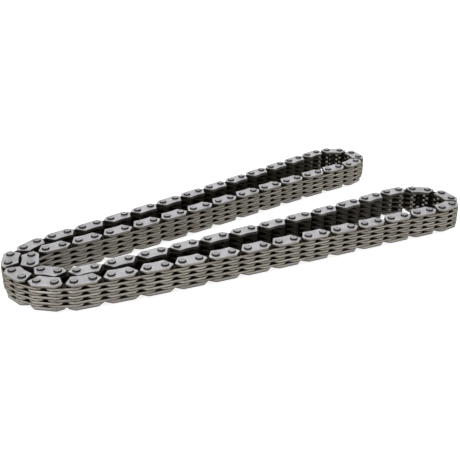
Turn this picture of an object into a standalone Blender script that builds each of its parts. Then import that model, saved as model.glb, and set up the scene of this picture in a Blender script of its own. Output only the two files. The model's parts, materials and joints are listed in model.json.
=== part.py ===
"""Endless inverted-tooth (silent) timing chain, lying on its side with its pins upright.

The loop has 120 links of one pitch. Guide links, each with two outer guide plates, alternate
with inner links of toothed plates. The loop lies as a V: two narrow doubled arms that run to
the right from a common bend at the left. The teeth point to the inside of the loop.

One stretch in the lower front run is built plate by plate and pin by pin. Everywhere else a
guide link and its inner link are joined, with their toothed plates as one pack, so that the
whole loop stays within the number of parts. Units are metres and degrees, +Z is up, and the
origin is under the middle of the loop, on the surface that it lies on.
"""

import math

import bmesh
import bpy
import numpy as np

# Driving dimensions
PITCH = 0.00635
LINKS = 120
LAYERS = 9
LAYER = 0.00107
GUIDE_LAYER = 0.00125
PLATE_GAP = 0.00010
PIN_STANDS_OUT = 0.00060
PIN_RADIUS = 0.00140
JOINED_PIN_SIDES = 6
SECTION_PIN_SIDES = 12
FIXED_CLEARANCE = 0.00005
TURNING_CLEARANCE = 0.00015
OPEN_CLEARANCE = 0.00035
HEIGHT = 2 * (PIN_STANDS_OUT + GUIDE_LAYER) + (LAYERS - 2) * LAYER

# Plate outlines in pitches from the middle of the link: (along the link, towards the back)
TIP = (0.97, 0.09)
GUIDE_BACK_CORNER = (0.62, 0.41)
TOOTHED_BACK_CORNER = (0.67, 0.41)
SHOULDER = (0.90, 0.26)
TOE_OUTER = (0.58, -0.57)
TOE_INNER = (0.42, -0.57)
CROTCH = (0.0, -0.14)
GUIDE_WAIST = (0.0, -0.49)

# How far the loop turns to its tooth side at each pin, in its four bends
LEFT_BEND = (14.9, 15.0, 18.0, 16.6, 20.0, 17.7, 40.7, 1.5, 14.0, 4.0)
UPPER_END = (2.2, 13.0, 29.5, 28.6, 36.2, 41.8, 22.6, 14.8)
INNER_BEND = (-19.3, -51.7, -32.8, -31.7, -17.1, -21.2, -4.8)
LOWER_END = (8.9, 16.3, 18.5, 24.3, 32.5, 36.1, 41.5, 11.4)
BENDS = {115: LEFT_BEND, 26: UPPER_END, 57: INNER_BEND, 84: LOWER_END}

# Runs between the bends: first pin, last pin, and the slight turn at the first and last pin
RUNS = ((5, 25, -0.4, 0.06), (34, 56, -0.78, 0.92), (64, 83, 0.26, -0.63), (92, 114, -0.14, 0.45))
FIRST_LINK_HEADING = 98.7

# How the 60 pairs of links are divided over the named parts. Pair k is the guide link from pin
# 2k to pin 2k + 1 and the inner link from there to pin 2k + 2.
OPEN_PIN = 60
SINGLE_PAIRS = (
    ("left_bend_links", (0, 1, 2, 3)),
    ("upper_end_links", (12, 13, 14, 15, 16, 17)),
    ("inner_bend_links", (26, 27, 28, 29, 30, 31, 32, 33)),
    ("lower_end_links", (40, 41, 42, 43, 44, 45)),
    ("lower_left_links", (53, 54, 55, 56, 57, 58, 59)),
)
DOUBLE_PAIRS = (
    ("upper_rear_links", (4, 6, 8, 10)),
    ("upper_front_links", (18, 20, 22, 24)),
    ("lower_rear_links", (34, 36, 38)),
    ("lower_front_links", (46, 48)),
)
SECTION_NEIGHBOUR = ("section_neighbour_links", 100)
SECTION_PIN = 103


def loop_turns():
    """The turn at each pin, in degrees, before the loop is closed exactly."""
    turns = np.zeros(LINKS)
    for first, bend in BENDS.items():
        turns[(first + np.arange(len(bend))) % LINKS] = bend
    for first, last, at_first, at_last in RUNS:
        turns[first : last + 1] = np.linspace(at_first, at_last, last + 1 - first)
    return turns


def headings_of(turns):
    """The heading of each link in radians, where link i runs from pin i to pin i + 1."""
    later = np.concatenate([[0.0], np.cumsum(turns[1:])])
    return np.radians(FIRST_LINK_HEADING - later)


def closed_headings():
    """Headings with the smallest change to all turns that brings the last link back to pin 0."""
    turns = loop_turns()
    for _ in range(6):
        headings = headings_of(turns)
        gap = np.array([np.cos(headings).sum(), np.sin(headings).sum()])
        swing = [[np.sin(headings[i:]).sum(), -np.cos(headings[i:]).sum()] for i in range(1, LINKS)]
        turns[1:] -= np.degrees(np.linalg.pinv(np.array(swing).T) @ gap)
    return headings_of(turns)


def turned(points, angle, place):
    """Points turned about Z by an angle in radians, then moved to a place."""
    across = np.array([[math.cos(angle), math.sin(angle)], [-math.sin(angle), math.cos(angle)]])
    return np.asarray(points) @ across + place


def mirrored_outline(right_half, middle):
    """A closed outline from the points of its right half, back to tooth side, and its middle."""
    left_half = [(-x, y) for x, y in right_half]
    return PITCH * np.array([*reversed(right_half), *left_half, middle])


def outline_at(outline, link):
    """A link outline in the frame of the loop."""
    middle = (pins[link] + pins[(link + 1) % LINKS]) / 2
    return turned(outline, headings[link], middle)


def pin_outline(centre, sides):
    """A pin's regular outline, with its corners at the pin's radius."""
    return polygon(centre, PIN_RADIUS, sides)


def hole_outline(centre, clearance, sides):
    """A hole's regular outline, whose flats clear the pin by the given distance."""
    return polygon(centre, (PIN_RADIUS + clearance) / math.cos(math.pi / sides), sides)


def polygon(centre, radius, sides):
    """A regular polygon with its corners at the given radius."""
    angles = 2 * math.pi * (np.arange(sides) + 0.5) / sides
    return np.array(centre) + radius * np.stack([np.cos(angles), np.sin(angles)], axis=1)


def layer_floor(layer):
    """The z of the plane under a layer of plates: guide plates are layers 0 and LAYERS - 1."""
    guides = (layer > 0) + (layer >= LAYERS)
    return PIN_STANDS_OUT + guides * GUIDE_LAYER + (layer - guides) * LAYER


def layer_span(first, last):
    """The lowest and highest z of a stack of plates from one layer to another."""
    return layer_floor(first) + PLATE_GAP / 2, layer_floor(last + 1) - PLATE_GAP / 2


def add_prism(shape, outline, low, high):
    """Extrudes an outline upwards from low to high."""
    corners = [shape.verts.new((x, y, low)) for x, y in outline]
    face = shape.faces.new(corners)
    grown = bmesh.ops.extrude_face_region(shape, geom=[face])["geom"]
    top = [item for item in grown if isinstance(item, bmesh.types.BMVert)]
    bmesh.ops.translate(shape, verts=top, vec=(0, 0, high - low))


def mesh_of(name, prisms):
    """A mesh of separate prisms, each an outline with its lowest and highest z."""
    shape = bmesh.new()
    for outline, low, high in prisms:
        add_prism(shape, outline, low, high)
    bmesh.ops.recalc_face_normals(shape, faces=shape.faces)
    mesh = bpy.data.meshes.new(name)
    shape.to_mesh(mesh)
    shape.free()
    return mesh


def placed(name, mesh, pin, heading):
    """An object with its origin on a pin's axis and its X along a heading."""
    thing = bpy.data.objects.new(name, mesh)
    thing.location = (*pins[pin % LINKS], 0)
    thing.rotation_euler = (0, 0, heading)
    bpy.context.scene.collection.objects.link(thing)
    return thing


def helper_of(thing, suffix, prisms):
    """A hidden operand for a Boolean, in the same place as the part that uses it."""
    helper = bpy.data.objects.new(thing.name + suffix, mesh_of(thing.name + suffix, prisms))
    helper.location = thing.location
    helper.rotation_euler = thing.rotation_euler
    helper.hide_render = True
    helper.display_type = "WIRE"
    bpy.context.scene.collection.objects.link(helper)
    return helper


def combine(thing, operation, helper):
    """Adds an exact Boolean modifier."""
    modifier = thing.modifiers.new(operation.title(), "BOOLEAN")
    modifier.operation = operation
    modifier.solver = "EXACT"
    modifier.object = helper


def steel(name, colour, roughness):
    """A bare steel material."""
    material = bpy.data.materials.new(name)
    material.use_nodes = True
    shader = material.node_tree.nodes["Principled BSDF"]
    shader.inputs["Base Color"].default_value = (*colour, 1)
    shader.inputs["Metallic"].default_value = 1.0
    shader.inputs["Roughness"].default_value = roughness
    return material


def joined_links(name, links, hinge_pin, material):
    """Joined links: guide plates and a pack of toothed plates, held together by their pins."""
    guide_links = [i % LINKS for i in links if i % 2 == 0]
    inner_links = [i % LINKS for i in links if i % 2 == 1]
    own_pins = [pin % LINKS for i in guide_links for pin in (i, i + 1)]
    turning_pins = [(i + 1) % LINKS for i in inner_links if (i + 1) % LINKS not in own_pins]
    plates = []
    for link in guide_links:
        plates += [(outline_at(guide_outline, link), *layer_span(n, n)) for n in (0, LAYERS - 1)]
    for link in inner_links:
        plates.append((outline_at(toothed_outline, link), *layer_span(1, LAYERS - 2)))
    rods = [(pin_outline(pins[pin], JOINED_PIN_SIDES), 0, HEIGHT) for pin in own_pins]
    holes = []
    for pin in turning_pins:
        clearance = OPEN_CLEARANCE if pin == OPEN_PIN else TURNING_CLEARANCE
        holes.append((hole_outline(pins[pin], clearance, JOINED_PIN_SIDES), 0, HEIGHT))

    heading = headings[guide_links[0]]
    place = pins[hinge_pin % LINKS]

    def local(prisms):
        return [(turned(points - place, -heading, 0), low, high) for points, low, high in prisms]

    thing = placed(name, mesh_of(name, local(plates)), hinge_pin, heading)
    if holes:
        combine(thing, "DIFFERENCE", helper_of(thing, "_holes", local(holes)))
    combine(thing, "UNION", helper_of(thing, "_pins", local(rods)))
    thing.data.materials.append(material)


def link_frame(name, link):
    """An empty on the pin at the far end of a link, which is the hinge that carries it."""
    frame = bpy.data.objects.new(name, None)
    frame.location = (*pins[link + 1], 0)
    frame.rotation_euler = (0, 0, headings[link])
    bpy.context.scene.collection.objects.link(frame)
    return frame


def section_plates(frame, names_by_layer, outline, clearance, material):
    """Loose plates of one link, one object for each layer, with a hole for each of its pins."""
    holes = [
        (hole_outline((x, 0.0), clearance, SECTION_PIN_SIDES), 0, HEIGHT) for x in (-PITCH, 0.0)
    ]
    for layer, name in names_by_layer:
        mesh = mesh_of(name, [(outline - (PITCH / 2, 0), *layer_span(layer, layer))])
        plate = section_piece(frame, name, mesh, material)
        helper = section_piece(frame, name + "_holes", mesh_of(name + "_holes", holes), None)
        helper.hide_render = True
        helper.display_type = "WIRE"
        combine(plate, "DIFFERENCE", helper)


def section_piece(frame, name, mesh, material, x=0.0):
    """A piece of a loose link, which moves with the link's frame."""
    piece = bpy.data.objects.new(name, mesh)
    piece.parent = frame
    piece.location = (x, 0, 0)
    if material:
        mesh.materials.append(material)
    bpy.context.scene.collection.objects.link(piece)
    return piece


def build_section():
    """The stretch that is built plate by plate: inner link, guide link, inner link."""
    right, guide, left = SECTION_PIN, SECTION_PIN + 1, SECTION_PIN + 2
    for side, link in (("left", left), ("right", right)):
        frame = link_frame(f"{side}_inner_link_frame", link)
        names = [(layer, f"{side}_inner_toothed_plate_{(layer + 1) // 2}") for layer in (1, 3, 5, 7)]
        section_plates(frame, names, toothed_outline, TURNING_CLEARANCE, inner_steel)
    frame = link_frame("guide_link_frame", guide)
    names = [(layer, f"middle_toothed_plate_{layer // 2}") for layer in (2, 4, 6)]
    section_plates(frame, names, toothed_outline, FIXED_CLEARANCE, inner_steel)
    names = [(0, "lower_guide_plate"), (LAYERS - 1, "upper_guide_plate")]
    section_plates(frame, names, guide_outline, FIXED_CLEARANCE, guide_steel)
    for name, x in (("right_rivet_pin", -PITCH), ("left_rivet_pin", 0.0)):
        mesh = mesh_of(name, [(pin_outline((0.0, 0.0), SECTION_PIN_SIDES), 0, HEIGHT)])
        section_piece(frame, name, mesh, pin_steel, x)


def build_joined():
    """All links outside the section."""
    for name, pairs in SINGLE_PAIRS:
        for number, pair in enumerate(pairs, 1):
            first = 2 * pair
            hinge = first if pair * 2 < OPEN_PIN else first + 2
            joined_links(f"{name}_{number}", (first, first + 1), hinge, guide_steel)
    for name, pairs in DOUBLE_PAIRS:
        for number, pair in enumerate(pairs, 1):
            first = 2 * pair
            hinge = first if pair * 2 < OPEN_PIN else first + 4
            joined_links(f"{name}_{number}", range(first, first + 4), hinge, guide_steel)
    name, first = SECTION_NEIGHBOUR
    joined_links(name, range(first, first + 3), first + 3, guide_steel)


for old in list(bpy.data.objects):
    bpy.data.objects.remove(old)

headings = closed_headings()
steps = PITCH * np.stack([np.cos(headings), np.sin(headings)], axis=1)
pins = np.concatenate([[[0.0, 0.0]], np.cumsum(steps, axis=0)])[:LINKS]
toothed_end = (TOOTHED_BACK_CORNER, SHOULDER, TIP, TOE_OUTER, TOE_INNER)
toothed_outline = mirrored_outline(toothed_end, CROTCH)
guide_outline = mirrored_outline((GUIDE_BACK_CORNER, TIP, TOE_OUTER), GUIDE_WAIST)
reach = np.concatenate(
    [outline_at(toothed_outline if link % 2 else guide_outline, link) for link in range(LINKS)]
)
pins -= (reach.min(axis=0) + reach.max(axis=0)) / 2

guide_steel = steel("guide_steel", (0.55, 0.54, 0.56), 0.38)
inner_steel = steel("toothed_plate_steel", (0.33, 0.31, 0.27), 0.42)
pin_steel = steel("pin_steel", (0.42, 0.41, 0.41), 0.35)

build_joined()
build_section()
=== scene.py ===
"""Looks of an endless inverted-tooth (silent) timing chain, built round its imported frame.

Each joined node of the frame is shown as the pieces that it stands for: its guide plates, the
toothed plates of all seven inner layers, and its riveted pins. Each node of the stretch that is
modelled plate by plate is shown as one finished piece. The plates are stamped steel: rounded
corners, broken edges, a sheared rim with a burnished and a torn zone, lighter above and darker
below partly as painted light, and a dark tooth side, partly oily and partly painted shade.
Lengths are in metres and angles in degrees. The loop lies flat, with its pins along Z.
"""

import json
import math
import random
from collections import namedtuple

import bpy
import numpy as np
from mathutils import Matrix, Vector
from mathutils.geometry import tessellate_polygon


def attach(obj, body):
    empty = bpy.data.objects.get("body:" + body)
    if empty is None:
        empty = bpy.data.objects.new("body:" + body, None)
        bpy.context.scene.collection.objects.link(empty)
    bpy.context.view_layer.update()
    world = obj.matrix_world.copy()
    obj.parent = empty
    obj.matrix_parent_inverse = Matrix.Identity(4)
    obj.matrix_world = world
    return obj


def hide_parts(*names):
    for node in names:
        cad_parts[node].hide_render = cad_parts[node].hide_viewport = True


# Driving dimensions, the same as the CAD's
PITCH = 0.00635
LINKS = 120
LAYERS = 9
LAYER = 0.00107
GUIDE_LAYER = 0.00125
PLATE_GAP = 0.00010
PIN_STANDS_OUT = 0.00060
PIN_RADIUS = 0.00140
FIXED_CLEARANCE = 0.00005
TURNING_CLEARANCE = 0.00015
HEIGHT = 2 * (PIN_STANDS_OUT + GUIDE_LAYER) + (LAYERS - 2) * LAYER

# The layers of the guide plates, of a guide link's toothed plates, and of an inner link's
OUTER_LAYERS = (0, LAYERS - 1)
MIDDLE_LAYERS = range(2, LAYERS - 2, 2)
INNER_LAYERS = range(1, LAYERS - 1, 2)

# Plate outlines in pitches from the middle of the link: (along the link, towards the back)
TIP = (0.97, 0.09)
GUIDE_BACK_CORNER = (0.62, 0.41)
TOOTHED_BACK_CORNER = (0.67, 0.41)
SHOULDER = (0.90, 0.26)
TOE_OUTER = (0.58, -0.57)
TOE_INNER = (0.42, -0.57)
CROTCH = (0.0, -0.14)
GUIDE_WAIST = (0.0, -0.49)
GUIDE_END = (GUIDE_BACK_CORNER, TIP, TOE_OUTER)
TOOTHED_END = (TOOTHED_BACK_CORNER, SHOULDER, TIP, TOE_OUTER, TOE_INNER)

# Corner radii in pitches, and how many straight steps each rounded corner takes
GUIDE_BACK_ROUND = (0.20, 4)
TOOTHED_BACK_ROUND = (0.16, 3)
SHOULDER_ROUND = (0.20, 2)
TIP_ROUND = (0.09, 4)
GUIDE_TOE_ROUND = (0.10, 5)
WAIST_ROUND = (2.2, 5)
TOE_ROUND = (0.05, 3)
CROTCH_ROUND = (0.13, 5)

# Broken edges: their width, and how many straight steps each one takes. A narrow band of the flat
# face runs along each edge, so that the rest of the face shades flat.
GUIDE_EDGE = (0.00012, 2)
TOOTHED_EDGE = (0.00011, 1)
EDGE_BAND = 0.00010

# How many sides the round shapes have
PIN_SIDES = 24
GUIDE_HOLE_SIDES = 24
TOOTHED_HOLE_SIDES = 16

# A pin's head from its centre outwards. Each row is a place, its depth under the pin's end, and
# how bright it is kept. Places are from the pin's axis in the punched centre, and from the shaft's
# surface in the chamfered rim. The rim darkens towards the head's side: painted shade, partly
# oily dirt.
PUNCHED_CENTRE = ((0.00016, 0.00007, 0.60), (0.00034, 0.00004, 0.80), (0.00044, 0.0, 0.90))
CHAMFERED_RIM = ((-0.00024, 0.0, 0.95), (-0.00014, 0.00005, 0.40), (-0.00004, 0.00017, 0.08))

# Below this depth the head is spread past the shaft, and it ends in a small collar just above the
# plate: what the collar adds to the spread at its top and its foot, its height, and its gap
SPREAD_FROM = 0.00030
SPREAD = 0.00003
COLLAR = (0.00002, 0.00008)
COLLAR_HEIGHT = 0.00010
SEAT_GAP = 0.00001

# How bright the flats and the tooth side are kept, from 0 (dark) to 1, and the holes of all
# plates. Below 1 the flats and tooth side are darkened, partly oily and partly painted shade
# of the narrow gaps and the chain's shaded inside.
GUIDE_CLEAN_AND_LIT = (1.0, 0.45)
TOOTHED_CLEAN_AND_LIT = (0.05, 0.06)
HOLE_CLEAN_AND_LIT = 0.1

# The tooth side's darkening, partly oily and partly painted shade, fades out between these
# heights in pitches, towards the back
OIL_AND_SHADE_FADE = (-0.10, 0.25)

# Toes below this height in pitches are painted lighter, to this share: a painted highlight
# where they stick out into the light
TOE_HIGHLIGHT_BELOW = -0.52
TOE_HIGHLIGHT = 0.60

# Teeth close up where each pin turns by this many degrees, and there their pockets are painted
# black: painted shade of the closed bend
CLOSED_TURN = 20

# Edges of a mesh are sharp above this many degrees
SHARP_ANGLE = 46

# How far the loop turns to its tooth side at each pin, in its four bends
LEFT_BEND = (14.9, 15.0, 18.0, 16.6, 20.0, 17.7, 40.7, 1.5, 14.0, 4.0)
UPPER_END = (2.2, 13.0, 29.5, 28.6, 36.2, 41.8, 22.6, 14.8)
INNER_BEND = (-19.3, -51.7, -32.8, -31.7, -17.1, -21.2, -4.8)
LOWER_END = (8.9, 16.3, 18.5, 24.3, 32.5, 36.1, 41.5, 11.4)
BENDS = {115: LEFT_BEND, 26: UPPER_END, 57: INNER_BEND, 84: LOWER_END}

# Runs between the bends: first pin, last pin, and the slight turn at the first and last pin
RUNS = ((5, 25, -0.4, 0.06), (34, 56, -0.78, 0.92), (64, 83, 0.26, -0.63), (92, 114, -0.14, 0.45))
FIRST_LINK_HEADING = 98.7

# Names of the joined nodes, with the first link of each one and how many links it has
JOINED = (
    ("left_bend_links", (0, 2, 4, 6), 2),
    ("upper_rear_links", (8, 12, 16, 20), 4),
    ("upper_end_links", (24, 26, 28, 30, 32, 34), 2),
    ("upper_front_links", (36, 40, 44, 48), 4),
    ("inner_bend_links", (52, 54, 56, 58, 60, 62, 64, 66), 2),
    ("lower_rear_links", (68, 72, 76), 4),
    ("lower_end_links", (80, 82, 84, 86, 88, 90), 2),
    ("lower_front_links", (92, 96), 4),
    ("lower_left_links", (106, 108, 110, 112, 114, 116, 118), 2),
)
SECTION_NEIGHBOUR = ("section_neighbour_links", 100, 3)
SECTION_GUIDE_LINK = 104

# Camera: where it aims, from pin 0 in pitches, and the height of its aim; its height angle, its
# distance in pitches, and its focal length
AIM_FROM_PIN = (12.243, 4.168)
AIM_HEIGHT = 0.01054
CAMERA_ELEVATION = 25.474
CAMERA_DISTANCE = 42.878
LENS_MM = 55.47

# Soft square lights, aimed at the middle of the loop: name, place, width and watts
LIGHTS = (
    ("overhead", (-0.10, 0.15, 0.70), 0.9, 3.0),
    ("behind", (0.0, 0.60, 0.45), 0.8, 1.9),
    ("front_left", (-0.55, -0.60, 0.45), 0.5, 2.0),
)

# The dome's strength at the horizon and above it: (rise of the view, strength)
HORIZON = (0.08, 1.0)
SKY = (0.30, 0.53)
FLOOR_HALF = 3.0
FLOOR_GLOW = 0.80

# Linear colours. The near-black ones are partly oily dirt and partly painted shade, the torn
# steel is partly painted shade, and the two rim colours are partly burnish and partly a
# painted highlight
OIL_AND_SHADE = (0.018, 0.014, 0.010)
TORN_AND_SHADED_STEEL = (0.10, 0.088, 0.068)
GUIDE_TOP = ((0.213, 0.208, 0.216), (0.44, 0.433, 0.448), (0.255, 0.240, 0.218))
GUIDE_SIDE = ((0.14, 0.129, 0.113), (0.28, 0.261, 0.233), (0.20, 0.170, 0.132))
GUIDE_SCRATCH = (0.50, 0.49, 0.51)
GUIDE_RIM_BURNISH_AND_HIGHLIGHT = (0.64, 0.63, 0.63)
GUIDE_OIL_AND_SHADE = (0.030, 0.025, 0.020)
TOOTHED_SIDE = ((0.17, 0.152, 0.122), (0.44, 0.412, 0.363), (0.25, 0.20, 0.14))
TOOTHED_RIM_BURNISH_AND_HIGHLIGHT = (0.53, 0.50, 0.45)
TOOTHED_TINT = (0.35, 0.33, 0.30)
PIN_STEEL = ((0.17, 0.165, 0.168), (0.31, 0.303, 0.308), (0.20, 0.185, 0.16))
PIN_OIL_AND_SHADE = (0.020, 0.017, 0.014)
FLOOR_GREYS = ((0.44, 0.44, 0.44), (0.47, 0.47, 0.47))
WHITE = (1.0, 1.0, 1.0)

# A mesh to be copied: points, faces, and the painted values of each face corner
Template = namedtuple("Template", "points faces clean edge level wall")

chance = random.Random(11)


# ---------------------------------------------------------------- the loop's path


def loop_turns():
    """The turn at each pin, in degrees, before the loop is closed exactly."""
    turns = np.zeros(LINKS)
    for first, bend in BENDS.items():
        turns[(first + np.arange(len(bend))) % LINKS] = bend
    for first, last, at_first, at_last in RUNS:
        turns[first : last + 1] = np.linspace(at_first, at_last, last + 1 - first)
    return turns


def headings_of(turns):
    """The heading of each link in radians, where link i runs from pin i to pin i + 1."""
    later = np.concatenate([[0.0], np.cumsum(turns[1:])])
    return np.radians(FIRST_LINK_HEADING - later)


def closed_headings():
    """Headings with the smallest change to all turns that brings the last link back to pin 0."""
    turns = loop_turns()
    for _ in range(6):
        headings = headings_of(turns)
        gap = np.array([np.cos(headings).sum(), np.sin(headings).sum()])
        swing = [[np.sin(headings[i:]).sum(), -np.cos(headings[i:]).sum()] for i in range(1, LINKS)]
        turns[1:] -= np.degrees(np.linalg.pinv(np.array(swing).T) @ gap)
    return headings_of(turns)


def turned(points, angle, place):
    """Points turned about Z by an angle in radians, then moved to a place."""
    across = np.array([[math.cos(angle), math.sin(angle)], [-math.sin(angle), math.cos(angle)]])
    return np.asarray(points) @ across + place


def mirrored(right_half, middle):
    """A closed row from the items of its right half, back to tooth side, and its middle."""
    left_half = [(-x, y) for x, y in right_half]
    return [*reversed(right_half), *left_half, middle]


def link_middle(link):
    """The place halfway between a link's two pins."""
    return (pins[link % LINKS] + pins[(link + 1) % LINKS]) / 2


def closed_share(link):
    """How far the teeth close up at a link, from 0 in a straight run or a backward bend to 1."""
    turn = math.remainder(headings[(link - 1) % LINKS] - headings[(link + 1) % LINKS], math.tau)
    return min(max(math.degrees(turn) / 2 / CLOSED_TURN, 0.0), 1.0)


def layer_floor(layer):
    """The z of the plane under a layer of plates: guide plates are layers 0 and LAYERS - 1."""
    if layer == 0:
        return PIN_STANDS_OUT
    return PIN_STANDS_OUT + GUIDE_LAYER + (layer - 1) * LAYER


def loop_pins():
    """Every pin's place, with the middle of the whole loop at the origin."""
    steps = PITCH * np.stack([np.cos(headings), np.sin(headings)], axis=1)
    places = np.concatenate([[[0.0, 0.0]], np.cumsum(steps, axis=0)])[:LINKS]
    sides = (mirrored(GUIDE_END, GUIDE_WAIST), mirrored(TOOTHED_END, CROTCH))
    outlines = [PITCH * np.array(sides[link % 2]) for link in range(LINKS)]
    middles = (places + np.roll(places, -1, axis=0)) / 2
    reach = np.concatenate([turned(*placed) for placed in zip(outlines, headings, middles)])
    return places - (reach.min(axis=0) + reach.max(axis=0)) / 2


# ---------------------------------------------------------------- plates and pins


def rounded_corner(before, corner, after, radius, steps):
    """Points and outward normals of one rounded corner of an outline that runs anticlockwise."""
    into = (corner - before) / np.linalg.norm(corner - before)
    out = (after - corner) / np.linalg.norm(after - corner)
    turn = math.atan2(into[0] * out[1] - into[1] * out[0], into @ out)
    side = math.copysign(1, turn)
    spoke = side * np.array([into[1], -into[0]])
    centre = corner - into * radius * math.tan(abs(turn) / 2) - radius * spoke
    spokes = np.array([turned(spoke, turn * n / steps, 0) for n in range(steps + 1)])
    return centre + radius * spokes, side * spokes


def rounded_outline(right_half, middle, right_rounds, middle_round):
    """Points and outward normals of a symmetrical outline whose corners are rounded."""
    corners = PITCH * np.array(mirrored(right_half, middle))
    rounds = [*reversed(right_rounds), *right_rounds, middle_round]
    runs = [
        rounded_corner(before, corner, after, PITCH * radius, steps)
        for before, corner, after, (radius, steps) in zip(
            np.roll(corners, 1, axis=0), corners, np.roll(corners, -1, axis=0), rounds
        )
    ]
    points, normals = (np.concatenate(part) for part in zip(*runs))
    return points, normals


def ring_faces(lower, upper):
    """Quads between two rings of point numbers that run anticlockwise, facing outwards."""
    return [
        (a, b, c, d) for a, b, c, d in zip(lower, np.roll(lower, -1), np.roll(upper, -1), upper)
    ]


def cap_faces(points, rings, upwards):
    """Triangles that fill a flat face inside its first ring and outside the others."""
    order = np.concatenate(rings)
    filled = tessellate_polygon([[Vector(points[n]) for n in ring] for ring in rings])
    faces = []
    for a, b, c in filled:
        a, b, c = order[a], order[b], order[c]
        one, other = points[b] - points[a], points[c] - points[a]
        if (one[0] * other[1] - one[1] * other[0] > 0) != upwards:
            b, c = c, b
        faces.append((a, b, c))
    return faces


def rim_rows(thickness, edge):
    """The rows of a plate's rim from bottom to top, each one how far inside it lies and its z."""
    width, steps = edge
    arc = [math.pi / 2 * n / steps for n in range(steps + 1)]
    rim = [(width * (1 - math.cos(a)), width * (1 - math.sin(a))) for a in arc]
    upper = [(inset, thickness - depth) for inset, depth in rim]
    return [(width + EDGE_BAND, 0.0), *reversed(rim), *upper, (width + EDGE_BAND, thickness)]


def paint_plate(points, faces, kinds, thickness, clean_and_lit_shares):
    """The painted values of each face corner of a plate, as lists: clean, edge, level, wall."""
    flat_clean_and_lit, tooth_clean_and_lit = clean_and_lit_shares
    low, high = OIL_AND_SHADE_FADE
    painted = []
    for face, kind in zip(faces, kinds):
        upper = np.mean([points[corner][2] for corner in face]) > thickness / 2
        at_toe = max(points[corner][1] for corner in face) < TOE_HIGHLIGHT_BELOW * PITCH
        # Upper broken edges get the rim's colour, partly burnish and partly a painted highlight of
        # light from above; lower ones go with the wall.
        edge = 1.0 if kind == "edge" and upper else 0.0
        wall = 1.0 if kind == "wall" or (kind == "edge" and not upper) else 0.0
        for corner in face:
            # Darker towards the tooth side: partly oily, partly painted shade of the chain's
            # inside.
            back = np.clip((points[corner][1] / PITCH - low) / (high - low), 0, 1)
            side = tooth_clean_and_lit + (1 - tooth_clean_and_lit) * back * back * (3 - 2 * back)
            # Painted highlight: toes are lighter, where they stick out into the light.
            if at_toe:
                side = max(side, TOE_HIGHLIGHT)
            clean = {"flat": flat_clean_and_lit, "hole": HOLE_CLEAN_AND_LIT}.get(kind, side)
            painted.append((clean, edge, points[corner][2] / thickness, wall))
    return [list(values) for values in zip(*painted)]


def plate_template(outline, thickness, hole, edge, clean_and_lit_shares):
    """One stamped plate from z 0 to its thickness, with broken edges and two pin holes.

    A hole is its radius and how many sides it has. An edge is its width and its steps.
    The last argument gives how bright the flats and the tooth side are kept; their darkening is
    partly oily and partly painted shade.
    """
    outer, normals = outline
    hole_radius, hole_sides = hole
    rows = rim_rows(thickness, edge)
    stack = [np.column_stack([outer - i * normals, np.full(len(outer), z)]) for i, z in rows]
    rings = [np.arange(len(outer)) + len(outer) * n for n in range(len(rows))]
    faces, kinds = [], []
    for ring, next_ring, row, next_row in zip(rings, rings[1:], rows, rows[1:]):
        wall = row[0] == next_row[0] == 0.0
        flat = row[1] == next_row[1]
        faces += ring_faces(ring, next_ring)
        kinds += ["wall" if wall else "flat" if flat else "edge"] * len(outer)

    angles = 2 * math.pi * np.arange(hole_sides) / hole_sides
    circle = np.stack([np.cos(angles), np.sin(angles)], axis=1)
    start = len(outer) * len(rows)
    bottoms, tops = [rings[0]], [rings[-1]]
    for x in (-PITCH / 2, PITCH / 2):
        around = hole_radius * circle + (x, 0)
        low, high = (np.arange(hole_sides) + start + hole_sides * n for n in (0, 1))
        stack += [np.column_stack([around, np.full(hole_sides, z)]) for z in (0.0, thickness)]
        faces += ring_faces(high, low)
        kinds += ["hole"] * hole_sides
        bottoms.append(low)
        tops.append(high)
        start += 2 * hole_sides
    points = np.concatenate(stack)
    for cap, upwards in ((bottoms, False), (tops, True)):
        filled = cap_faces(points, cap, upwards)
        faces += filled
        kinds += ["flat"] * len(filled)
    return Template(points, faces, *paint_plate(points, faces, kinds, thickness, clean_and_lit_shares))


def pin_template():
    """A riveted pin from end to end: a straight shaft, a spread collar and a punched centre."""
    seat = PIN_STANDS_OUT + PLATE_GAP / 2 - SEAT_GAP
    spread = PIN_RADIUS + SPREAD
    # Below the chamfer the head, its collar and the shaft are painted black: painted shade of the
    # head's side and foot, partly oily dirt.
    head = [
        *PUNCHED_CENTRE,
        *((PIN_RADIUS + out, depth, clean) for out, depth, clean in CHAMFERED_RIM),
        (spread, SPREAD_FROM, 0.0),
        (spread + COLLAR[0], seat - COLLAR_HEIGHT, 0.0),
        (spread + COLLAR[1], seat, 0.0),
        (PIN_RADIUS, seat, 0.0),
    ]
    profile = head + [(r, HEIGHT - z, clean) for r, z, clean in reversed(head)]
    angles = 2 * math.pi * np.arange(PIN_SIDES) / PIN_SIDES
    circle = np.stack([np.cos(angles), np.sin(angles)], axis=1)
    rows = [np.column_stack([r * circle, np.full(PIN_SIDES, z)]) for r, z, _ in profile]
    rings = [np.arange(PIN_SIDES) + PIN_SIDES * n for n in range(len(profile))]
    faces = [face for lower, upper in zip(rings, rings[1:]) for face in ring_faces(lower, upper)]
    faces += [tuple(reversed(rings[0])), tuple(rings[-1])]
    corners = np.concatenate(faces)
    painted = list(np.repeat([clean for _, _, clean in profile], PIN_SIDES)[corners])
    nothing = [0.0] * len(corners)
    return Template(np.concatenate(rows), faces, painted, nothing, painted, nothing)


def plates_of(template, layers, link):
    """The copies of one plate that a link has, as (template, heading, place, z, closed)."""
    laid = (template, headings[link % LINKS], link_middle(link))
    return [(*laid, layer_floor(layer) + PLATE_GAP / 2, closed_share(link)) for layer in layers]


def pins_of(numbers):
    """The copies of the pin at some pins' places, as plates_of gives them."""
    return [(pin_shape, 0.0, pins[number % LINKS], 0.0, 0.0) for number in numbers]


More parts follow.
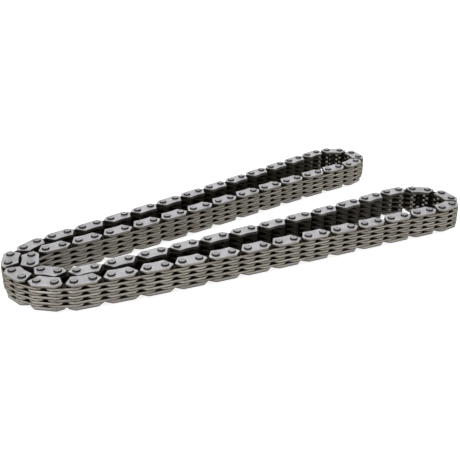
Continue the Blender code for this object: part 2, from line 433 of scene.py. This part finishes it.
def add_piece(name, nodes, copies, material):
    """One piece of the chain from copies of templates, riding on the body of its nodes.

    Each plate has a tone of its own, and the inner links' plates are the darker ones.
    """
    points, faces = [], []
    painted = {"clean": [], "edge": [], "level": [], "wall": [], "tone": [], "closed": []}
    start = 0
    for template, heading, place, height, closed in copies:
        flat = turned(template.points[:, :2], heading, place)
        points.append(np.column_stack([flat, template.points[:, 2] + height]))
        faces += [tuple(int(n) + start for n in face) for face in template.faces]
        start += len(template.points)
        for key in ("clean", "edge", "level", "wall"):
            painted[key] += getattr(template, key)
        tone = (0.0 if template is inner_shape else 0.4) + 0.6 * chance.random()
        painted["tone"] += [tone] * len(template.clean)
        painted["closed"] += [closed] * len(template.clean)
    mesh = bpy.data.meshes.new(name)
    mesh.from_pydata(np.concatenate(points).tolist(), [], faces)
    for key, values in painted.items():
        mesh.attributes.new(key, "FLOAT", "CORNER").data.foreach_set("value", values)
    mesh.polygons.foreach_set("use_smooth", [True] * len(faces))
    mesh.set_sharp_from_angle(angle=math.radians(SHARP_ANGLE))
    mesh.materials.append(material)
    piece = bpy.data.objects.new(name, mesh)
    bpy.context.scene.collection.objects.link(piece)
    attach(piece, body_of[nodes[0]])
    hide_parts(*nodes)


def build_joined(name, first, count):
    """The guide plates, toothed plates and pins of one joined node."""
    guides, toothed, own_pins = [], [], []
    for link in range(first, first + count):
        if link % 2 == 0:
            guides += plates_of(guide_shape, OUTER_LAYERS, link)
            toothed += plates_of(middle_shape, MIDDLE_LAYERS, link)
            own_pins += [link, link + 1]
        else:
            toothed += plates_of(inner_shape, INNER_LAYERS, link)
    add_piece(f"{name}_guide_plates", [name], guides, guide_steel)
    add_piece(f"{name}_toothed_plates", [name], toothed, toothed_steel)
    add_piece(f"{name}_rivet_pins", [name], pins_of(own_pins), pin_steel)


def build_section():
    """The finished pieces of the stretch that is modelled plate by plate."""
    guide = SECTION_GUIDE_LINK

    def finished(node, copies, material):
        add_piece(f"finished_{node}", [node], copies, material)

    for side, link in (("left", guide + 1), ("right", guide - 1)):
        for number, layer in enumerate(INNER_LAYERS, 1):
            copies = plates_of(inner_shape, (layer,), link)
            node = f"{side}_inner_toothed_plate_{number}"
            finished(node, copies, toothed_steel)
    for number, layer in enumerate(MIDDLE_LAYERS, 1):
        copies = plates_of(middle_shape, (layer,), guide)
        finished(f"middle_toothed_plate_{number}", copies, toothed_steel)
    for node, layer in zip(("lower_guide_plate", "upper_guide_plate"), OUTER_LAYERS):
        finished(node, plates_of(guide_shape, (layer,), guide), guide_steel)
    for node, pin in (("right_rivet_pin", guide), ("left_rivet_pin", guide + 1)):
        finished(node, pins_of([pin]), pin_steel)


# ---------------------------------------------------------------- materials


class Painter:
    """Adds the nodes of one material, with short calls."""

    def __init__(self, name):
        self.material = bpy.data.materials.new(name)
        self.material.use_nodes = True
        self.tree = self.material.node_tree
        self.shader = self.tree.nodes["Principled BSDF"]

    def add(self, kind, inputs=(), **settings):
        """A node, its settings, and its inputs as (name or number, value or socket) pairs."""
        made = self.tree.nodes.new(kind)
        for key, value in settings.items():
            setattr(made, key, value)
        for key, value in inputs:
            if isinstance(value, bpy.types.NodeSocket):
                self.tree.links.new(value, made.inputs[key])
            else:
                made.inputs[key].default_value = value
        return made

    def value(self, name):
        """A painted value of the mesh, from 0 to 1."""
        return self.add("ShaderNodeAttribute", attribute_name=name).outputs["Fac"]

    def math(self, operation, a, b=0.0, c=0.0):
        """The result of an operation on up to three values or sockets."""
        pairs = [(0, a), (1, b), (2, c)]
        return self.add("ShaderNodeMath", pairs, operation=operation).outputs[0]

    def spread(self, source, low, high, to_low=0.0, to_high=1.0):
        """A value from one range to another, held at both ends."""
        pairs = [(0, source), (1, low), (2, high), (3, to_low), (4, to_high)]
        return self.add("ShaderNodeMapRange", pairs, clamp=True).outputs[0]

    def blend(self, share, one, other):
        """A value between two others."""
        pairs = [(0, share), (2, one), (3, other)]
        return self.add("ShaderNodeMix", pairs, data_type="FLOAT").outputs[0]

    def mix(self, share, one, other):
        """A colour between two others."""
        kind = {"data_type": "RGBA", "clamp_factor": True}
        pairs = [(0, share), (6, self.colour(one)), (7, self.colour(other))]
        return self.add("ShaderNodeMix", pairs, **kind).outputs[2]

    @staticmethod
    def colour(value):
        """A colour with its alpha, or a socket as it is."""
        return (*value, 1.0) if isinstance(value, tuple) else value

    def grain(self, per_mm, detail=3.0, roughness=0.6, stretch=(1, 1, 1), turn=0.0, shift=0.0):
        """Noise with so many cells to a millimetre, different on each plate."""
        place = self.add("ShaderNodeTexCoord").outputs["Object"]
        offset = self.math("MULTIPLY", self.value("tone"), shift)
        moved = self.add("ShaderNodeVectorMath", [(0, place), (1, offset)]).outputs[0]
        scale = tuple(1000 * per_mm * s for s in stretch)
        pairs = [("Vector", moved), ("Scale", scale), ("Rotation", (0, 0, math.radians(turn)))]
        placed = self.add("ShaderNodeMapping", pairs).outputs[0]
        pairs = [("Vector", placed), ("Scale", 1.0), ("Detail", detail), ("Roughness", roughness)]
        return self.add("ShaderNodeTexNoise", pairs).outputs["Fac"]

    def finish(self, colour, roughness, height, distance, metallic):
        """Links the shader's colour, roughness and bump."""
        pairs = [("Height", height), ("Strength", 1.0), ("Distance", distance)]
        bump = self.add("ShaderNodeBump", pairs).outputs[0]
        self.tree.links.new(colour, self.shader.inputs["Base Color"])
        self.tree.links.new(roughness, self.shader.inputs["Roughness"])
        self.tree.links.new(bump, self.shader.inputs["Normal"])
        self.shader.inputs["Metallic"].default_value = metallic
        return self.material


def steel_colour(paint, palette, fine, tone_share):
    """Steel of a dark, a light and a stained colour: clouds, fine grain and each plate's tone."""
    dark, light, warm = palette
    clouds = paint.grain(0.16, detail=4.0, shift=0.05)
    share = paint.math("MULTIPLY_ADD", paint.value("tone"), tone_share, clouds)
    share = paint.math("MULTIPLY_ADD", fine, 0.35, share)
    share = paint.spread(share, 0.45, 1.25)
    grey = paint.mix(share, dark, light)
    stain = paint.spread(paint.grain(0.35, detail=5.0, shift=0.11), 0.56, 0.72, 0.0, 0.5)
    return paint.mix(stain, grey, warm)


def rim_burnish_and_highlight(paint, colour, rim):
    """A colour that turns to the rim's colour on the upper edges: partly burnish, partly a painted
    highlight of light from above.
    """
    return paint.mix(paint.math("MULTIPLY", paint.value("edge"), 0.6), colour, rim)


def sheared_wall(paint, palette, groove):
    """The sheared side of a plate as (colour, roughness, height).

    It has upright streaks, is burnished above and torn below, lighter above and darker below
    partly as painted light from above, and its lowest part is a dark band, partly oily and partly
    painted shade in the gap between stacked plates.
    """
    streaks = paint.grain(5.5, detail=3.0, stretch=(1, 1, 0.06), shift=0.4)
    level = paint.value("level")
    torn_below = paint.math("MULTIPLY_ADD", streaks, 0.5, 0.20)
    torn = paint.spread(paint.math("SUBTRACT", torn_below, level), -0.08, 0.08)
    colour = steel_colour(paint, palette, streaks, 0.50)
    # The torn zone's darker steel is partly the real fracture zone and partly painted shade.
    colour = paint.mix(paint.math("MULTIPLY", torn, 0.55), colour, TORN_AND_SHADED_STEEL)
    # Painted shade, partly oily: the lowest part of the wall goes dark, in the gap between stacked
    # plates.
    colour = paint.mix(paint.spread(level, 0.0, groove, 0.9, 0.0), colour, OIL_AND_SHADE)
    rough = paint.spread(torn, 0.0, 1.0, 0.36, 0.55)
    height = paint.math("MULTIPLY_ADD", torn, -1.0, streaks)
    return colour, rough, height


def guide_plate_steel():
    """Tumbled steel with a faint lilac cast, fine scratches, bright upper edges that are partly a
    painted highlight, and a darker tooth side, partly oily and partly painted shade.
    """
    paint = Painter("guide_plate_steel")
    fine = paint.grain(7.0, detail=4.0)
    scratches = paint.grain(2.2, detail=2.0, stretch=(0.12, 3.0, 1), turn=28, shift=0.3)
    scratches = paint.spread(scratches, 0.60, 0.68)
    mottled = paint.math("MULTIPLY_ADD", paint.grain(1.1, detail=3.0, shift=0.23), 1.6, fine)
    colour = steel_colour(paint, GUIDE_TOP, paint.math("ADD", mottled, -0.8), 0.22)
    colour = paint.mix(paint.math("MULTIPLY", scratches, 0.25), colour, GUIDE_SCRATCH)
    colour = rim_burnish_and_highlight(paint, colour, GUIDE_RIM_BURNISH_AND_HIGHLIGHT)
    side_colour, side_rough, side_height = sheared_wall(paint, GUIDE_SIDE, 0.30)
    wall = paint.value("wall")
    colour = paint.mix(wall, colour, side_colour)
    # The tooth side and holes are darkened: partly oily, partly painted shade.
    oil_and_shade = paint.spread(paint.value("clean"), 0.0, 1.0, 0.93, 0.0)
    colour = paint.mix(oil_and_shade, colour, GUIDE_OIL_AND_SHADE)
    rough = paint.spread(paint.grain(1.1, detail=5.0, shift=0.2), 0.3, 0.7, 0.38, 0.56)
    rough = paint.blend(wall, rough, side_rough)
    height = paint.math("MULTIPLY_ADD", scratches, -0.6, fine)
    height = paint.blend(wall, height, side_height)
    return paint.finish(colour, rough, height, distance=0.000008, metallic=0.92)


def toothed_plate_steel():
    """Sheared olive-grey sides with brighter upper edges, partly a painted highlight, and dark
    flats and teeth, partly oily and partly painted shade.

    The darkening eases towards the open right ends of the arms, a painted light where more light
    reaches in, except where the teeth close up. There the pockets are painted black as shade, and
    the toes, which stick out into the light, are painted lighter as a highlight.
    """
    paint = Painter("toothed_plate_steel")
    colour, rough, height = sheared_wall(paint, TOOTHED_SIDE, 0.24)
    colour = rim_burnish_and_highlight(paint, colour, TOOTHED_RIM_BURNISH_AND_HIGHLIGHT)
    film = paint.spread(paint.grain(0.45, detail=4.0, shift=0.17), 0.38, 0.72, 0.0, 0.25)
    # Painted light: the darkening eases towards x = 0.07 m, the loop's open right end where more
    # light reaches in, and is full in closed bends.
    place = paint.add("ShaderNodeTexCoord").outputs["Object"]
    along = paint.add("ShaderNodeSeparateXYZ", [(0, place)]).outputs[0]
    closed = paint.value("closed")
    oil_and_shade_depth = paint.math("MAXIMUM", paint.spread(along, 0.01, 0.07, 0.98, 0.76), closed)
    # In closed bends the pockets go fully dark, a painted shade, and the toes light, a painted
    # highlight.
    fully_dark_below = paint.spread(closed, 0.0, 1.0, TOE_HIGHLIGHT, 0.15)
    fully_bright_above = paint.spread(closed, 0.0, 1.0, 1.0, TOE_HIGHLIGHT)
    oil_and_shade = paint.spread(paint.value("clean"), fully_dark_below, fully_bright_above, oil_and_shade_depth, 0.0)
    colour = paint.mix(paint.math("MAXIMUM", oil_and_shade, film), colour, OIL_AND_SHADE)
    paint.shader.inputs["Specular Tint"].default_value = paint.colour(TOOTHED_TINT)
    return paint.finish(colour, rough, height, distance=0.000010, metallic=0.88)


def rivet_pin_steel():
    """Hardened pins, darker than the plates, with fine grain, and heads whose sides and collars are
    painted dark: painted shade, partly oily dirt.
    """
    paint = Painter("rivet_pin_steel")
    fine = paint.grain(6.0, detail=4.0)
    colour = steel_colour(paint, PIN_STEEL, fine, 0.35)
    # Painted shade, partly oily: the heads' sides, collars and shafts go dark.
    oil_and_shade = paint.spread(paint.value("clean"), 0.0, 1.0, 0.95, 0.0)
    colour = paint.mix(oil_and_shade, colour, PIN_OIL_AND_SHADE)
    rough = paint.spread(paint.grain(1.6, detail=4.0, shift=0.2), 0.3, 0.7, 0.34, 0.50)
    return paint.finish(colour, rough, fine, distance=0.000006, metallic=0.92)


def floor_paper():
    """A matt grey sheet with an even glow of its own, so that it looks white."""
    paint = Painter("floor_paper")
    fibres = paint.grain(0.4, detail=5.0)
    colour = paint.mix(fibres, *FLOOR_GREYS)
    rough = paint.spread(fibres, 0.0, 1.0, 0.85, 0.95)
    paint.shader.inputs["Emission Color"].default_value = paint.colour(WHITE)
    paint.shader.inputs["Emission Strength"].default_value = FLOOR_GLOW
    return paint.finish(colour, rough, fibres, distance=0.000010, metallic=0.0)


# ---------------------------------------------------------------- stage, light and camera


def add_floor():
    """A large flat sheet under the chain, which isn't part of it."""
    half = FLOOR_HALF
    mesh = bpy.data.meshes.new("floor")
    corners = [(-half, -half, 0), (half, -half, 0), (half, half, 0), (-half, half, 0)]
    mesh.from_pydata(corners, [], [(0, 1, 2, 3)])
    mesh.materials.append(floor_paper())
    floor = bpy.data.objects.new("floor", mesh)
    bpy.context.scene.collection.objects.link(floor)


def aimed(thing, place, target):
    """Puts a light or camera at a place, looking at a target."""
    bpy.context.scene.collection.objects.link(thing)
    thing.location = place
    thing.rotation_euler = (Vector(target) - Vector(place)).to_track_quat("-Z", "Y").to_euler()


def add_light(name, place, width, watts):
    """One soft square light, aimed at the middle of the loop."""
    light = bpy.data.lights.new(name, "AREA")
    light.shape = "SQUARE"
    light.size = width
    light.energy = watts
    aimed(bpy.data.objects.new(name, light), place, (0, 0, 0))


def add_world():
    """An even dome, brighter near the horizon so that low views stay plain white behind."""
    world = bpy.data.worlds.new("studio")
    world.use_nodes = True
    nodes, links = world.node_tree.nodes, world.node_tree.links
    height = nodes.new("ShaderNodeSeparateXYZ")
    links.new(nodes.new("ShaderNodeTexCoord").outputs["Generated"], height.inputs[0])
    strength = nodes.new("ShaderNodeMapRange")
    links.new(height.outputs[2], strength.inputs[0])
    for number, value in enumerate((HORIZON[0], SKY[0], HORIZON[1], SKY[1]), 1):
        strength.inputs[number].default_value = value
    background = nodes["Background"]
    background.inputs["Color"].default_value = (*WHITE, 1.0)
    links.new(strength.outputs[0], background.inputs["Strength"])
    bpy.context.scene.world = world


def add_camera():
    """The camera in front of the loop, a little above it."""
    camera = bpy.data.cameras.new("camera")
    camera.lens = LENS_MM
    camera.clip_start = 0.01
    aim = Vector((*(pins[0] + PITCH * np.array(AIM_FROM_PIN)), AIM_HEIGHT))
    rise = math.radians(CAMERA_ELEVATION)
    away = CAMERA_DISTANCE * PITCH * Vector((0, -math.cos(rise), math.sin(rise)))
    thing = bpy.data.objects.new("camera", camera)
    aimed(thing, aim + away, aim)
    bpy.context.scene.camera = thing


# ---------------------------------------------------------------- the scene

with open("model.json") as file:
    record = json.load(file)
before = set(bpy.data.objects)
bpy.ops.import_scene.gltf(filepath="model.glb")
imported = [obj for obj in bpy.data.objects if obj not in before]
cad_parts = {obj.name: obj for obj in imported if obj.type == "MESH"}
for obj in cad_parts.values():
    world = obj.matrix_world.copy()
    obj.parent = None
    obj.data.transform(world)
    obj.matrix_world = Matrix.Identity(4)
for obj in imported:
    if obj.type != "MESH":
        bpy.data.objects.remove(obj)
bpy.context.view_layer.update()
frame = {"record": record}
body_of = {
    node: body for body, nodes in frame["record"]["behaviour"]["bodies"].items() for node in nodes
}

headings = closed_headings()
pins = loop_pins()

guide_rounds = (GUIDE_BACK_ROUND, TIP_ROUND, GUIDE_TOE_ROUND)
guide_outline = rounded_outline(GUIDE_END, GUIDE_WAIST, guide_rounds, WAIST_ROUND)
toothed_rounds = (TOOTHED_BACK_ROUND, SHOULDER_ROUND, TIP_ROUND, TOE_ROUND, TOE_ROUND)
toothed_outline = rounded_outline(TOOTHED_END, CROTCH, toothed_rounds, CROTCH_ROUND)
guide_thickness, toothed_thickness = GUIDE_LAYER - PLATE_GAP, LAYER - PLATE_GAP
guide_hole = (PIN_RADIUS + FIXED_CLEARANCE, GUIDE_HOLE_SIDES)
middle_hole = (PIN_RADIUS + FIXED_CLEARANCE, TOOTHED_HOLE_SIDES)
inner_hole = (PIN_RADIUS + TURNING_CLEARANCE, TOOTHED_HOLE_SIDES)
guide_shape = plate_template(guide_outline, guide_thickness, guide_hole, GUIDE_EDGE, GUIDE_CLEAN_AND_LIT)
middle_shape, inner_shape = (
    plate_template(toothed_outline, toothed_thickness, hole, TOOTHED_EDGE, TOOTHED_CLEAN_AND_LIT)
    for hole in (middle_hole, inner_hole)
)
pin_shape = pin_template()

guide_steel = guide_plate_steel()
toothed_steel = toothed_plate_steel()
pin_steel = rivet_pin_steel()

for group, firsts, count in JOINED:
    for number, first in enumerate(firsts, 1):
        build_joined(f"{group}_{number}", first, count)
build_joined(*SECTION_NEIGHBOUR)
build_section()

add_floor()
for light in LIGHTS:
    add_light(*light)
add_world()
add_camera()
bpy.context.scene.view_settings.view_transform = "Standard"
